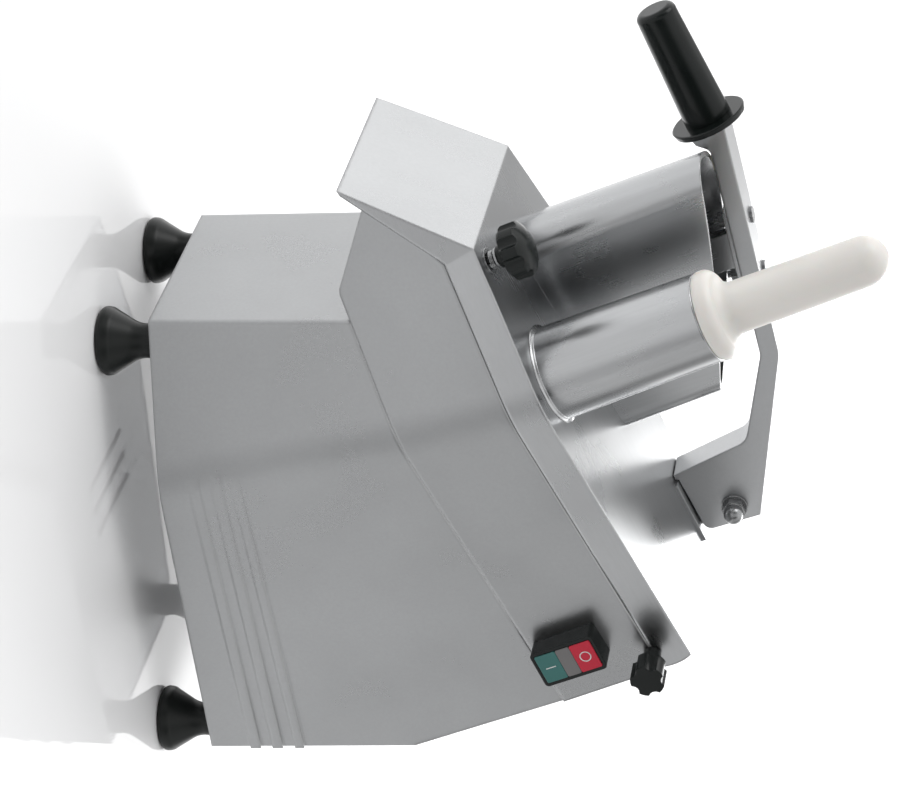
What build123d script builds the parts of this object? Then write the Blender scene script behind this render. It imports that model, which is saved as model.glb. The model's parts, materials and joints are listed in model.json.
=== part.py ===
"""Inclined-head vegetable cutter for a shop or restaurant kitchen.

Frame: +Z up, the discharge chute faces -Y, the switch is on the +X side.
Most of the machine is square to its sloping lid, so many sketches use "lid
coordinates": v across the machine (along X), s up the slope (rearwards) and
w square to the lid, measured up from the lid's top surface.  All sizes are mm.
"""

import os
from math import acos, asin, cos, radians, sin

from build123d import *

os.makedirs("parts", exist_ok=True)

# ---------------------------------------------------------------- datum
SLOPE = 21.7                       # lid slope to the floor, degrees
CENTRE_X = -3.0                    # machine's mirror plane, from the origin
CENTRE_Y = -27.6                   # lid datum line, from the origin
LID_Z = 331.0                      # lid surface height on the datum line

# ---------------------------------------------------------------- castings
WALL = 5.0
BASE_Z = 40.0                      # underside of the body, on its feet
SEAM_W = -24.0                     # lower edge of the lid's skirt
PARTING_W = -105.5                 # joint between the two body castings
SEAM_GAP = 0.6
CREASE_RADIUS = 90.0               # soft bend of each side wall beside the disc
FRONT_Y = -76.8
REAR_Y = 287.0
REAR_BREAK_Z = 197.0               # rear wall turns square to the lid here
REAR_S = 219.0
FOLD_S = -141.0                    # lid bends down into the discharge hood
HOOD_TIP = (-215.0, -70.0)         # lower front edge of the hood, (s, w)

# side-wall outlines: (half width, distance back), front to rear
BOTTOM_STATIONS = ((83.0, FRONT_Y), (122.0, 40.0), (95.0, 322.0))
PARTING_STATIONS = ((85.0, -124.6), (118.5, -39.0), (88.0, 250.0))
LID_STATIONS = ((81.0, -141.0), (114.5, -22.0), (85.0, 250.0))
NOSE_S = -222.0                    # outlines go on to here past the front
HOOD_NOSE = (75.0, NOSE_S)         # the hood's sides are nearly parallel

# ---------------------------------------------------------------- chamber
DISC_S = -10.0                     # disc axis, up the slope
BOWL_RADIUS = 107.5
BOWL_FLOOR_W = -62.0
DECK_W = -30.0                     # top of the deck behind the bowl
TRENCH_W = -50.0                   # deck is lower round the lid's hinge
TRENCH_S = 178.0
CHUTE_LIP = (-147.0, -104.0)       # end of the chute floor, (s, w)
CHEEK_TIP = (-196.0, -61.0)        # lower front corner of the chute's cheeks

# ---------------------------------------------------------------- lid
LID_PLATE = 6.0
HINGE_S = 202.5
HINGE_W = -25.0
HINGE_PIN_RADIUS = 4.0
FIT = 0.05                         # radial clearance of a running fit

# ---------------------------------------------------------------- feed tubes
HOPPER_RADIUS = 100.0              # round side of the hopper, about the disc axis
HOPPER_WALL = 6.5
HOPPER_DRAFT = 1.2
RIM_FRONT = (-175.0, 424.0)        # hopper rim: a shallow arch in the side view
RIM_MID = (-40.0, 432.5)
RIM_REAR = (80.0, 427.5)
TUBE_V = 62.0
TUBE_S = -23.0
TUBE_HEIGHT = 121.7
TUBE_BORE = 28.0

# ---------------------------------------------------------------- lever
PIVOT_S = 190.0
PIVOT_W = 33.0
PIVOT_PIN_RADIUS = 5.0
LEVER_NEAR_V = -57.5               # lever's side nearest the round tube
LEVER_BOX_V = -84.0                # far side of the pivot box
LEVER_ARM_V = -92.0                # far side of the arm by the grip
SLOT_V = (-76.5, -65.0)            # slot in the box for the bracket's lug
STEM_V = -78.0
STEM_S = -4.0
GRIP_V = -74.0
GRIP_W = 146.0
GRIP_START_S = -104.0
GRIP_LENGTH = 93.0

# ---------------------------------------------------------------- drive
SHAFT_RADIUS = 8.5
PULLEY_W = (-124.0, -104.0)
PULLEY_RADIUS = 77.5
MOTOR_S = 118.0
MOTOR_RADIUS = 60.0
MOTOR_PULLEY_RADIUS = 15.0
MOTOR_SHAFT_RADIUS = 7.0
DISC_RADIUS = 102.5
DISC_W = -20.0                     # underside of the cutting disc

# ---------------------------------------------------------------- controls
LOCK_V = 68.0
LOCK_S = -123.0
SWITCH_S = 174.5
SWITCH_W = -77.0
SWITCH_FACE_X = 113.0              # front of the switch housing, from the mirror plane

# ---------------------------------------------------------------- feet
FOOT_PLACES = ((-69.5, -53.5), (69.5, -53.5), (-80.0, 273.0), (80.0, 273.0))
STUD_RADIUS = 4.0

SIN = sin(radians(SLOPE))
COS = cos(radians(SLOPE))
ACROSS = Vector(1, 0, 0)
UPSLOPE = Vector(0, COS, SIN)
NORMAL = Vector(0, -SIN, COS)


def lid_point(v, s, w):
    """Point given in lid coordinates."""
    datum = Vector(CENTRE_X, CENTRE_Y, LID_Z)
    return datum + ACROSS * v + UPSLOPE * s + NORMAL * w


def lid_level(w, v=0.0, s=0.0):
    """Plane parallel to the lid; sketch coordinates are (v, s)."""
    return Plane(origin=lid_point(v, s, w), x_dir=ACROSS, z_dir=NORMAL)


def lid_side(v, s=0.0, w=0.0):
    """Plane square to X in lid directions; sketch coordinates are (s, w)."""
    return Plane(origin=lid_point(v, s, w), x_dir=UPSLOPE, z_dir=ACROSS)


def lid_section(v, s):
    """Plane through a lid-square axis; sketch coordinates are (radius, w)."""
    return Plane(origin=lid_point(v, s, 0), x_dir=ACROSS, z_dir=UPSLOPE * -1)


def side(x):
    """Plane square to X in floor directions; sketch coordinates are (y, z)."""
    return Plane(origin=(CENTRE_X + x, CENTRE_Y, 0), x_dir=(0, 1, 0), z_dir=(1, 0, 0))


def front(y):
    """Plane facing -Y; sketch coordinates are (x, z)."""
    return Plane(origin=(CENTRE_X, CENTRE_Y + y, 0), x_dir=(1, 0, 0), z_dir=(0, -1, 0))


def level(z, x=0.0, y=0.0):
    """Horizontal plane; sketch coordinates are (x, y)."""
    return Plane(origin=(CENTRE_X + x, CENTRE_Y + y, z))


def to_floor(s, w):
    """Side-view lid coordinates (s, w) as floor coordinates (y, z)."""
    return (s * COS - w * SIN, LID_Z + s * SIN + w * COS)


def cap_middle(radius, edge, apex):
    """Middle of the arc from (radius, edge) to (0, apex) that is centred on the axis."""
    rise = apex - edge
    curve = (radius * radius + rise * rise) / (2 * rise)
    half = asin(radius / curve) / 2
    return (curve * sin(half), apex - curve + curve * cos(half))


def save(piece, name):
    """Label a finished piece and write its STEP file."""
    piece.part.label = name
    export_step(piece.part, f"parts/{name}.step")


# ================================================================ envelopes
def mirrored_outline(stations, inset):
    """Points of a plan outline that is the same on both sides."""
    right = [(half - inset, back) for half, back in stations]
    left = [(-half, back) for half, back in reversed(right)]
    return right + left


def envelope(lower_plane, lower, upper_plane, upper, inset):
    """Solid between two plan outlines, its side walls drawn in by inset."""
    with BuildPart() as block:
        for plane, stations in ((lower_plane, lower), (upper_plane, upper)):
            with BuildSketch(plane) as outline:
                with BuildLine():
                    Polyline(*mirrored_outline(stations, inset), close=True)
                make_face()
                by_width = outline.vertices().group_by(Axis.X)
                fillet(by_width[0] + by_width[-1], CREASE_RADIUS)
        loft(ruled=True)
    return block.part


def swelled(stations, swell):
    """Stations whose rear end is wider, so that the side leans out rearwards."""
    half, back = stations[-1]
    return stations[:-1] + ((half + swell, back),)


def lower_envelope(inset, swell=0.0):
    """Lower body between its underside and the parting plane."""
    bottom = swelled(BOTTOM_STATIONS, swell)
    parting = swelled(PARTING_STATIONS, swell)
    return envelope(level(BASE_Z), bottom, lid_level(PARTING_W), parting, inset)


def run_on(stations, reach):
    """Stations with the first side carried straight on to a new front end."""
    (half, start), (wider, second) = stations[:2]
    slant = (wider - half) / (second - start)
    return ((half - slant * (start - reach), reach),) + stations[1:]


def upper_envelope(inset):
    """Upper body casting, between the parting plane and the lid's surface."""
    parting = run_on(PARTING_STATIONS, NOSE_S)
    surface = run_on(LID_STATIONS, NOSE_S)
    return envelope(lid_level(PARTING_W), parting, lid_level(0), surface, inset)


def lid_envelope(inset):
    """Lid and hood, carried down to the parting plane."""
    parting = (HOOD_NOSE,) + PARTING_STATIONS
    surface = (HOOD_NOSE,) + LID_STATIONS
    return envelope(lid_level(PARTING_W), parting, lid_level(0), surface, inset)


def side_prism(plane, points, reach=180.0):
    """Side-view polygon carried right across the machine."""
    with BuildPart() as prism:
        with BuildSketch(plane):
            with BuildLine():
                Polyline(*points, close=True)
            make_face()
        extrude(amount=reach, both=True)
    return prism.part


# ================================================================ lower body
RIB_SWELL = 2.8
RIB_FRONT_Y = 30.0
RIBS = ((62.0, 71.0, 8.0), (78.5, 88.0, 8.0), (93.0, 105.5, 7.0))  # front z, rear z, height
PLATE_THICKNESS = 2.0
BOSS_RADIUS = 11.0
BOSS_TOP_Z = 68.0


def parting_z(y):
    """Height of the parting plane at a distance back."""
    return LID_Z + (PARTING_W + y * SIN) / COS


def base_profile(inset):
    """Side view of the lower casting, in floor coordinates."""
    rear = REAR_Y - inset
    nose = FRONT_Y + inset
    top_rear = to_floor(REAR_S - inset, PARTING_W)
    return ((nose, BASE_Z), (rear, BASE_Z), (rear, REAR_BREAK_Z), top_rear, (nose, parting_z(nose)))


def base_hollow():
    """Inside of the lower casting, open below and above."""
    with BuildPart() as hollow:
        add(lower_envelope(WALL))
        add(side_prism(side(0), base_profile(WALL)), mode=Mode.INTERSECT)
    return hollow.part


def rib_bands():
    """Embossed bands on both sides, fading into the wall at the front."""
    with BuildPart() as bands:
        for front_z, rear_z, height in RIBS:
            with BuildSketch(side(0)):
                with BuildLine():
                    Polyline(
                        (RIB_FRONT_Y, front_z),
                        (REAR_Y - 1.5, rear_z),
                        (REAR_Y - 1.5, rear_z + height),
                        (RIB_FRONT_Y, front_z + height),
                        close=True,
                    )
                make_face()
            extrude(amount=180, both=True)
        add(lower_envelope(0, RIB_SWELL), mode=Mode.INTERSECT)
        add(lower_envelope(WALL), mode=Mode.SUBTRACT)
    return bands.part


with BuildPart() as base_housing:
    add(lower_envelope(0))
    add(side_prism(side(0), base_profile(0)), mode=Mode.INTERSECT)
    upright = base_housing.edges().filter_by(lambda e: abs(e.tangent_at(0.5).Z) > 0.9)
    fillet(upright.filter_by(lambda e: e.center().Y < CENTRE_Y + FRONT_Y + 2), 3.5)
    rear_corners = base_housing.edges().filter_by(
        lambda e: abs(e.tangent_at(0.5).Z) > 0.6 and e.center().Y > CENTRE_Y + 225
    )
    fillet(rear_corners, 3.5)
    add(base_hollow(), mode=Mode.SUBTRACT)
    add(rib_bands())
    for x, y in FOOT_PLACES:
        web = -20.5 if y < 0 else 12.0                       # reaches into the nearer wall
        with BuildSketch(level(BASE_Z + PLATE_THICKNESS, x, y)):
            Circle(BOSS_RADIUS)
            with Locations((0, web / 2)):
                Rectangle(10, abs(web))
            Circle(STUD_RADIUS + FIT, mode=Mode.SUBTRACT)
        extrude(amount=BOSS_TOP_Z - BASE_Z)
    with BuildSketch(front(REAR_Y + 1)):                     # cable gland hole
        with Locations((-45, 72)):
            Circle(8.0)
    extrude(amount=WALL + 2, mode=Mode.SUBTRACT)

with BuildPart() as bottom_plate:
    with BuildSketch(level(BASE_Z)) as outline:
        with BuildLine():
            Polyline(*mirrored_outline(BOTTOM_STATIONS, WALL + 0.6), close=True)
        make_face()
        by_width = outline.vertices().group_by(Axis.X)
        fillet(by_width[0] + by_width[-1], CREASE_RADIUS)
        for x, y in FOOT_PLACES:
            with Locations((x, y)):
                Circle(STUD_RADIUS + 0.3, mode=Mode.SUBTRACT)
        with Locations((0, 90), (0, 110), (0, 130)):
            SlotOverall(90, 6, mode=Mode.SUBTRACT)           # cooling slots
    extrude(amount=PLATE_THICKNESS)
    add(side_prism(side(0), base_profile(WALL + 0.6)), mode=Mode.INTERSECT)
save(base_housing, "base_housing")
save(bottom_plate, "bottom_plate")

# ================================================================ chamber casting
HOUSING_BORE = 17.5
SEAL_RADIUS = 14.0
EAR_V = (72.0, 80.0)
EAR_RADIUS = 8.0
BOSS_W = (-58.0, -32.0)


def chamber_profile():
    """Side view of the upper body casting, in lid coordinates."""
    seam = SEAM_W - SEAM_GAP
    return (
        (REAR_S, PARTING_W),
        (REAR_S, HINGE_W - 8.0),
        (HINGE_S + 13.1, HINGE_W - 11.0),                    # clear of the lid's rear as it opens
        (HINGE_S + 9.1, HINGE_W - 14.3),
        (HINGE_S - 0.4, seam),
        (-138.0, seam),
        CHEEK_TIP,
        CHUTE_LIP,
        (CHUTE_LIP[0] + 4, PARTING_W),
    )


def under_floor():
    """Space below the bowl's floor and the rear deck, open to the lower body."""
    deck = DECK_W - WALL
    trench = TRENCH_W - WALL
    floor = BOWL_FLOOR_W - WALL
    points = (
        (REAR_S - WALL, PARTING_W - 1),
        (REAR_S - WALL, trench),
        (TRENCH_S - WALL, trench),
        (TRENCH_S - WALL, deck),
        (-84.0, deck),
        (-84.0, floor),
        (-92.0, floor),
        (-138.0, PARTING_W - 1),
    )
    with BuildPart() as hollow:
        add(upper_envelope(WALL))
        add(side_prism(lid_side(0), points), mode=Mode.INTERSECT)
        with BuildSketch(lid_level(floor, s=DISC_S)):
            Circle(BOWL_RADIUS + WALL)
        extrude(amount=80, mode=Mode.SUBTRACT)
    return hollow.part


def food_space():
    """Chute and the shallow spaces above the deck, between the side walls."""
    chute = (
        (-84.0, 1.0),
        (-84.0, BOWL_FLOOR_W),
        (-97.0, BOWL_FLOOR_W),
        (CHUTE_LIP[0], CHUTE_LIP[1]),
        (-240.0, CHUTE_LIP[1]),
        (-240.0, 1.0),
    )
    above_deck = (
        (-90.0, 1.0),
        (-90.0, DECK_W),
        (TRENCH_S, DECK_W),
        (TRENCH_S, TRENCH_W),
        (REAR_S + 20, TRENCH_W),
        (REAR_S + 20, 1.0),
    )
    with BuildPart() as space:
        add(side_prism(lid_side(0), chute))
        add(side_prism(lid_side(0), above_deck))
        add(upper_envelope(WALL), mode=Mode.INTERSECT)
    return space.part


with BuildPart() as chamber_casting:
    add(upper_envelope(0))
    add(side_prism(lid_side(0), chamber_profile()), mode=Mode.INTERSECT)
    add(under_floor(), mode=Mode.SUBTRACT)
    add(food_space(), mode=Mode.SUBTRACT)
    with BuildSketch(lid_level(BOWL_FLOOR_W, s=DISC_S)):
        Circle(BOWL_RADIUS)
    extrude(amount=60, mode=Mode.SUBTRACT)
    with BuildSketch(lid_level(BOWL_FLOOR_W - WALL - 1, s=DISC_S)):
        Circle(SEAL_RADIUS)
    extrude(amount=WALL + 2, mode=Mode.SUBTRACT)
    for v in (EAR_V[0], -EAR_V[1]):                          # ears for the hinge rod
        with BuildSketch(lid_side(v)):
            with Locations((HINGE_S, HINGE_W)):
                Circle(EAR_RADIUS)
            with Locations((HINGE_S, (HINGE_W + TRENCH_W) / 2 - 1)):
                Rectangle(2 * EAR_RADIUS, HINGE_W - TRENCH_W + 2)
        extrude(amount=EAR_V[1] - EAR_V[0])
    with BuildSketch(lid_side(-EAR_V[1] - 1)):
        with Locations((HINGE_S, HINGE_W)):
            Circle(HINGE_PIN_RADIUS + FIT)
    extrude(amount=2 * EAR_V[1] + 30, mode=Mode.SUBTRACT)
    with BuildSketch(lid_level(BOSS_W[0], LOCK_V, LOCK_S)):  # boss for the lid's lock screw
        Circle(8.5)
        with Locations((7.5, 0)):
            Rectangle(15, 10)
    extrude(amount=BOSS_W[1] - BOSS_W[0])
    with BuildSketch(lid_level(BOSS_W[0] - 1, LOCK_V, LOCK_S)):
        Circle(5.5)
    extrude(amount=BOSS_W[1] - BOSS_W[0] + 2, mode=Mode.SUBTRACT)
    with BuildSketch(lid_side(80)):                          # window for the switch contacts
        with Locations((SWITCH_S, SWITCH_W)):
            Rectangle(20, 37)
    extrude(amount=20, mode=Mode.SUBTRACT)
save(chamber_casting, "chamber_casting")

# ================================================================ lid
HOOD_HEEL = (-210.5, -69.4)
LUG_V = (54.0, 64.0)
LUG_RADIUS = 8.0
LOCK_HOLE = 5.5


def rear_rounded_prism(front_points, top_rear, bulge, bottom_rear):
    """Side prism in lid coordinates whose rear face is a shallow arc."""
    with BuildPart() as prism:
        with BuildSketch(lid_side(0)):
            with BuildLine():
                Polyline(bottom_rear, *front_points, top_rear)
                ThreePointArc(top_rear, bulge, bottom_rear)
            make_face()
        extrude(amount=180, both=True)
    return prism.part


def lid_outer():
    """Lid, skirt and discharge hood as one solid block."""
    front_points = ((-138.3, SEAM_W), HOOD_HEEL, HOOD_TIP, (FOLD_S, 0))
    with BuildPart() as block:
        add(lid_envelope(0))
        prism = rear_rounded_prism(front_points, (REAR_S - 4, 0), (REAR_S - 0.8, -10), (REAR_S - 1.5, SEAM_W))
        add(prism, mode=Mode.INTERSECT)
    return block.part


def lid_inner():
    """Space under the lid's plate and inside its skirt and hood."""
    front_points = (
        (-120.0, SEAM_W - 2),
        (-180.0, -86.3),
        (-225.0, -86.3),
        (-140.1, -LID_PLATE),
    )
    rear = REAR_S - WALL
    with BuildPart() as block:
        add(lid_envelope(WALL))
        prism = rear_rounded_prism(
            front_points, (rear - 3.5, -LID_PLATE), (rear - 1, -12), (rear - 1.5, SEAM_W - 2)
        )
        add(prism, mode=Mode.INTERSECT)
    return block.part


def half_moon(inset):
    """Half-moon plan of the large hopper, drawn in by inset; (v, s) points."""
    near = ((9.5 - inset, -130), (-24.3 - inset, 140))
    with BuildSketch() as moon:
        with Locations((0, DISC_S)):
            Circle(HOPPER_RADIUS - inset)
        with BuildLine():
            Polyline(*near, (150, 140), (150, -130), close=True)
        make_face(mode=Mode.SUBTRACT)
        fillet(moon.vertices(), 21 - inset)
    return moon.sketch


HOPPER_OUTSIDE = half_moon(0)
HOPPER_MOUTH = half_moon(HOPPER_WALL)


with BuildPart() as lid_cover:
    add(lid_outer())
    add(lid_inner(), mode=Mode.SUBTRACT)
    with BuildSketch(lid_level(-LID_PLATE - 1)):
        add(HOPPER_MOUTH)
        with Locations((TUBE_V, TUBE_S)):
            Circle(TUBE_BORE)
        with Locations((LOCK_V, LOCK_S)):
            Circle(LOCK_HOLE)
    extrude(amount=LID_PLATE + 2, mode=Mode.SUBTRACT)
    for v in (LUG_V[0], -LUG_V[1]):                          # lugs for the hinge rod
        with BuildSketch(lid_side(v)):
            with Locations((HINGE_S, HINGE_W)):
                Circle(LUG_RADIUS)
            with Locations((HINGE_S, (HINGE_W - LID_PLATE) / 2 + 0.5)):
                Rectangle(2 * LUG_RADIUS, -HINGE_W - LID_PLATE + 1)
            with Locations((HINGE_S, HINGE_W)):
                Circle(HINGE_PIN_RADIUS + FIT, mode=Mode.SUBTRACT)
        extrude(amount=LUG_V[1] - LUG_V[0])
    with BuildSketch(lid_side(LUG_V[1])):                    # notch in the skirt for the hinge rod
        with Locations((HINGE_S, HINGE_W)):
            Circle(HINGE_PIN_RADIUS + FIT)
    extrude(amount=50, mode=Mode.SUBTRACT)
save(lid_cover, "lid_cover")

with BuildPart() as large_hopper:
    with BuildSketch(lid_level(0)):
        add(HOPPER_OUTSIDE)
    extrude(amount=165, taper=HOPPER_DRAFT)
    with BuildSketch(lid_level(-1)):
        add(HOPPER_MOUTH)
    extrude(amount=170, mode=Mode.SUBTRACT)
    with BuildSketch(side(0)):                               # arched rim
        with BuildLine():
            ThreePointArc(RIM_FRONT, RIM_MID, RIM_REAR)
            Polyline(RIM_REAR, (RIM_REAR[0], 620), (RIM_FRONT[0] - 60, 620), (RIM_FRONT[0] - 60, RIM_FRONT[1]))
            Line((RIM_FRONT[0] - 60, RIM_FRONT[1]), RIM_FRONT)
        make_face()
    extrude(amount=150, both=True, mode=Mode.SUBTRACT)
save(large_hopper, "large_hopper")

with BuildPart() as round_feed_tube:
    with BuildSketch(lid_level(0, TUBE_V, TUBE_S)):
        Circle(34.0)
    extrude(amount=TUBE_HEIGHT, taper=0.94)
    with BuildSketch(lid_level(0, TUBE_V, TUBE_S)):
        Circle(TUBE_BORE)
    extrude(amount=TUBE_HEIGHT, mode=Mode.SUBTRACT)
    fillet(round_feed_tube.faces().sort_by(Axis(lid_point(0, 0, 0), NORMAL))[-1].edges(), 1.2)
save(round_feed_tube, "round_feed_tube")

with BuildPart() as round_pusher:
    with BuildSketch(lid_section(TUBE_V, TUBE_S)):
        with BuildLine():
            Polyline((0, -5), (26, -5), (27.4, -3), (27.4, TUBE_HEIGHT + 0.2), (31.5, TUBE_HEIGHT + 0.2))
            ThreePointArc((31.5, TUBE_HEIGHT + 0.2), (32.0, 129.0), (27.0, 134.5))
            ThreePointArc((27.0, 134.5), (21.0, 137.8), (18.4, 144.0))
            Line((18.4, 144.0), (17.6, 237.0))
            ThreePointArc((17.6, 237.0), cap_middle(17.6, 237.0, 254.5), (0, 254.5))
            Line((0, 254.5), (0, -5))
        make_face()
    revolve(axis=Axis(lid_point(TUBE_V, TUBE_S, 0), NORMAL))
save(round_pusher, "round_pusher")

# ================================================================ lever
BRACKET_LUG_RADIUS = 10.5
PAD_W = 2.5
ARM_TOP = ((GRIP_START_S, 158.5), (81.0, 118.5))
ARM_UNDER = ((-90.0, 141.2), (77.0, 105.3))
BOLT_S = (-23.0, 20.8)
BOLT_RADIUS = 3.0
FOOT_INSET = 10.2
FOOT_W = (-5.0, 7.0)


def on_line(line, s):
    """Height w at s on a straight side-view line given by two points."""
    (s0, w0), (s1, w1) = line
    return w0 + (w1 - w0) * (s - s0) / (s1 - s0)


def arm_square(v, s, w):
    """Plane square to the lever arm's top, facing up."""
    (s0, w0), (s1, w1) = ARM_TOP
    up = NORMAL * (s1 - s0) - UPSLOPE * (w1 - w0)
    return Plane(origin=lid_point(v, s, w), x_dir=ACROSS, z_dir=up.normalized())


with BuildPart() as lever_arm:
    with BuildSketch(lid_side(LEVER_NEAR_V)) as profile:
        with BuildLine():
            Polyline(
                ARM_TOP[0],
                ARM_TOP[1],
                (204.3, 48.0),
                (202.3, 4.0),
                (153.5, 3.2),
                (153.0, 0.8),
                (148.5, 0.8),
                (141.0, 64.5),
                ARM_UNDER[1],
                ARM_UNDER[0],
                (-97.0, 133.5),
                (GRIP_START_S, 131.5),
                close=True,
            )
        make_face()
        fillet(profile.vertices().sort_by_distance(ARM_TOP[1])[0], 24)
        fillet(profile.vertices().sort_by_distance(ARM_UNDER[1])[0], 14)
        fillet(profile.vertices().sort_by_distance((141.0, 64.5))[0], 14)
        fillet(profile.vertices().sort_by_distance(ARM_UNDER[0])[0], 6)
        fillet(profile.vertices().sort_by_distance((202.3, 4.0))[0], 6)
    extrude(amount=LEVER_ARM_V - LEVER_NEAR_V)
    with BuildSketch(lid_level(-20)):                        # far side tapers to the pivot box
        with BuildLine():
            Polyline(
                (LEVER_ARM_V - 1, GRIP_START_S - 5),
                (LEVER_ARM_V, -40),
                (LEVER_BOX_V, 60),
                (LEVER_BOX_V, 230),
                (LEVER_ARM_V - 20, 230),
                (LEVER_ARM_V - 20, GRIP_START_S - 5),
                close=True,
            )
        make_face()
    extrude(amount=220, mode=Mode.SUBTRACT)
    with BuildSketch(lid_side(SLOT_V[0])):                   # slot for the bracket's lug
        with BuildLine():
            Polyline((156, -2), (156, 45.5), (215, 45.5), (215, -2), close=True)
        make_face()
    extrude(amount=SLOT_V[1] - SLOT_V[0], mode=Mode.SUBTRACT)
    with BuildSketch(lid_side(LEVER_BOX_V - 2)):
        with Locations((PIVOT_S, PIVOT_W)):
            Circle(PIVOT_PIN_RADIUS + FIT)
    extrude(amount=40, mode=Mode.SUBTRACT)
    for s in BOLT_S:
        with BuildSketch(arm_square(STEM_V, s, on_line(ARM_TOP, s)).offset(1)):
            Circle(BOLT_RADIUS + FIT)
        extrude(amount=-30, mode=Mode.SUBTRACT)
save(lever_arm, "lever_arm")

with BuildPart() as lever_bracket:
    with BuildSketch(lid_level(0)):
        with BuildLine():
            Polyline((-91, 154), (-91, 206), (-49.5, 206), (-49.5, 154), close=True)
        make_face()
    extrude(amount=PAD_W)
    with BuildSketch(lid_side(SLOT_V[0] + 0.4)):
        with Locations((PIVOT_S, PIVOT_W)):
            Circle(BRACKET_LUG_RADIUS)
        with BuildLine():
            Polyline(
                (172, 1),
                (PIVOT_S - BRACKET_LUG_RADIUS, PIVOT_W),
                (PIVOT_S + BRACKET_LUG_RADIUS, PIVOT_W),
                (PIVOT_S + BRACKET_LUG_RADIUS, 1),
                close=True,
            )
        make_face()
        with Locations((PIVOT_S, PIVOT_W)):
            Circle(PIVOT_PIN_RADIUS, mode=Mode.SUBTRACT)
    extrude(amount=SLOT_V[1] - SLOT_V[0] - 0.8)
save(lever_bracket, "lever_bracket")

with BuildPart() as pivot_bolt:
    with BuildSketch(lid_side(LEVER_BOX_V - 0.3)):
        with Locations((PIVOT_S, PIVOT_W)):
            RegularPolygon(8.5, 6)
    extrude(amount=-6)
    with BuildSketch(lid_side(LEVER_BOX_V - 0.3)):
        with Locations((PIVOT_S, PIVOT_W)):
            Circle(PIVOT_PIN_RADIUS)
    extrude(amount=42)
save(pivot_bolt, "pivot_bolt")

pivot_axis = Axis(lid_point(0, PIVOT_S, PIVOT_W), ACROSS)
with BuildPart() as pivot_washer:
    with BuildSketch(lid_side(LEVER_NEAR_V + 0.3)):
        with Locations((PIVOT_S, PIVOT_W)):
            Circle(10.0)
            Circle(PIVOT_PIN_RADIUS, mode=Mode.SUBTRACT)
    extrude(amount=2)
save(pivot_washer, "pivot_washer")

with BuildPart() as pivot_nut:
    with BuildSketch(lid_side(LEVER_NEAR_V + 2.3)):
        with Locations((PIVOT_S, PIVOT_W)):
            RegularPolygon(9.2, 6)
    extrude(amount=7)
    with BuildSketch(Plane(origin=lid_point(LEVER_NEAR_V, PIVOT_S, PIVOT_W), x_dir=ACROSS, z_dir=UPSLOPE * -1)):
        with BuildLine():                                    # rounded cap over the bolt's end
            Polyline((4.0, 0), (4.0, 7.4), (12.7, 7.4))
            ThreePointArc((12.7, 7.4), cap_middle(7.4, 12.7, 20.0)[::-1], (20.0, 0))
            Line((20.0, 0), (4.0, 0))
        make_face()
    revolve(axis=pivot_axis)
    with BuildSketch(lid_side(LEVER_NEAR_V + 2)):
        with Locations((PIVOT_S, PIVOT_W)):
            Circle(PIVOT_PIN_RADIUS)
    extrude(amount=13.2, mode=Mode.SUBTRACT)
save(pivot_nut, "pivot_nut")

# ---------------------------------------------------------------- lever's pusher
with BuildPart() as pusher_stem:
    with BuildSketch(lid_side(STEM_V - 10)):
        with BuildLine():
            Polyline(
                (-35, on_line(ARM_UNDER, -35)),
                (27, on_line(ARM_UNDER, 27)),
                (26, on_line(ARM_UNDER, 26) - 5),
                (-36, on_line(ARM_UNDER, -36) - 5),
                close=True,
            )
        make_face()
    extrude(amount=20)
    with BuildSketch(lid_side(STEM_V - 5)):
        with BuildLine():
            Polyline(
                (STEM_S - 14, FOOT_W[1]),
                (STEM_S + 14, FOOT_W[1]),
                (STEM_S + 14, on_line(ARM_UNDER, STEM_S + 14) - 3),
                (STEM_S - 14, on_line(ARM_UNDER, STEM_S - 14) - 3),
                close=True,
            )
        make_face()
    extrude(amount=10)
    for s in BOLT_S:
        with BuildSketch(arm_square(STEM_V, s, on_line(ARM_TOP, s)).offset(1)):
            Circle(BOLT_RADIUS + FIT)
        extrude(amount=-30, mode=Mode.SUBTRACT)
save(pusher_stem, "pusher_stem")

with BuildPart() as pusher_foot:
    with BuildSketch(lid_level(FOOT_W[0])):
        add(half_moon(FOOT_INSET))
        with Locations((0, 64 + 50)):
            Rectangle(260, 100, mode=Mode.SUBTRACT)          # squared off towards the pivot
    extrude(amount=FOOT_W[1] - FOOT_W[0])
save(pusher_foot, "pusher_foot")

BOLT_GRIP = 18.9                   # arm and flange held between bolt head and nut
with BuildPart() as pusher_bolts:
    for s in BOLT_S:
        seat = arm_square(STEM_V, s, on_line(ARM_TOP, s))
        with BuildSketch(seat):
            Circle(6.2)
        extrude(amount=2.2)
        with BuildSketch(seat):
            Circle(BOLT_RADIUS)
        extrude(amount=-BOLT_GRIP - 8)
save(pusher_bolts, "pusher_bolts")

with BuildPart() as pusher_nuts:
    for s in BOLT_S:
        seat = arm_square(STEM_V, s, on_line(ARM_TOP, s))
        with BuildSketch(seat.offset(-BOLT_GRIP)):
            RegularPolygon(5.6, 6)
            Circle(BOLT_RADIUS, mode=Mode.SUBTRACT)
        extrude(amount=-5)
save(pusher_nuts, "pusher_nuts")

with BuildPart() as rest_buffer:
    with BuildSketch(lid_side(-74.0)):
        with BuildLine():
            Polyline(
                (-84, on_line(ARM_UNDER, -84)),
                (-73, on_line(ARM_UNDER, -73)),
                (-73, on_line(ARM_UNDER, -73) - 1.5),
                (-84, on_line(ARM_UNDER, -84) - 1.5),
                close=True,
            )
        make_face()
    extrude(amount=12)
save(rest_buffer, "rest_buffer")

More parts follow.
